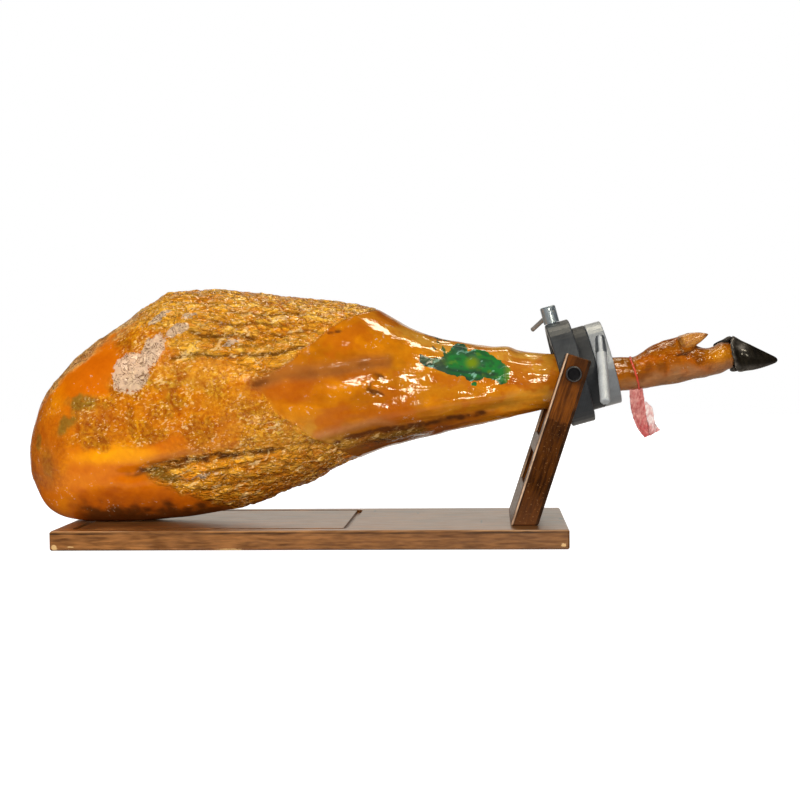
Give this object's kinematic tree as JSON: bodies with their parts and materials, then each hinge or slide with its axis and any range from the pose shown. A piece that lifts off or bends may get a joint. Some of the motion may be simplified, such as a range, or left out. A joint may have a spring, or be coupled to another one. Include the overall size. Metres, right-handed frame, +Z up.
{
  "type": "cured ham on a stand",
  "caption": "Whole cured ham leg, hoof at the right, its shank gripped in the tilting ring head of a low wooden stand, its thick end resting on the board.",
  "frame": {"origin": "centre of the board's underside", "axes": "+X along the leg from its thick end to its foot, +Z up, -Y towards the side with the lock lever"},
  "size_m": [0.8018, 0.215, 0.2699],
  "materials": {
    "wood": "brown stain under gloss varnish",
    "dark_metal": "satin dark grey",
    "bright_metal": "turned, satin",
    "matt_aluminium": "matt",
    "zinc": "zinc plated",
    "black_bolt": "black oxide",
    "ham_skin": "oiled orange fat and skin, rough and cracked in places",
    "horn": "glossy dark horn",
    "red_plastic": "translucent red film"
  },
  "bodies": {
    "stand": {"board": "wood", "post_near": "wood", "post_far": "wood", "rail_upper": "wood", "block_lower": "wood"},
    "head": {"ring_outer": "dark_metal", "sleeve_inner": "dark_metal", "lock_collar": "bright_metal", "bolt_near": "black_bolt", "bolt_far": "black_bolt", "ham_leg": "ham_skin", "hoof_near": "horn", "hoof_far": "horn", "dewclaw_near": "ham_skin", "dewclaw_far": "ham_skin", "tag_loop": "red_plastic", "tag_strap": "red_plastic"},
    "clamp": {"clamp_screw": "zinc"},
    "bar": {"tommy_bar": "zinc"},
    "lever": {"lock_lever": "matt_aluminium"}
  },
  "joints": [
    {"name": "head_tilt", "type": "hinge", "parent": "stand", "child": "head", "pos_m": [0.27193, 0, 0.17552], "axis": [0, 1, 0], "range_deg": [0, 30]},
    {"name": "clamp_turn", "type": "hinge", "parent": "head", "child": "clamp", "pos_m": [0.25206, 0, 0.23231], "axis": [-0.2588, 0, 0.9659], "range_deg": [0, 360]},
    {"name": "bar_slide", "type": "slide", "parent": "clamp", "child": "bar", "axis": [0.5668, -0.6367, 0.5229], "range_m": [0, 0.02]},
    {"name": "lever_turn", "type": "hinge", "parent": "head", "child": "lever", "pos_m": [0.30193, -0.03179, 0.21117], "axis": [0.0145, -0.6315, -0.7752], "range_deg": [0, 360]}
  ]
}
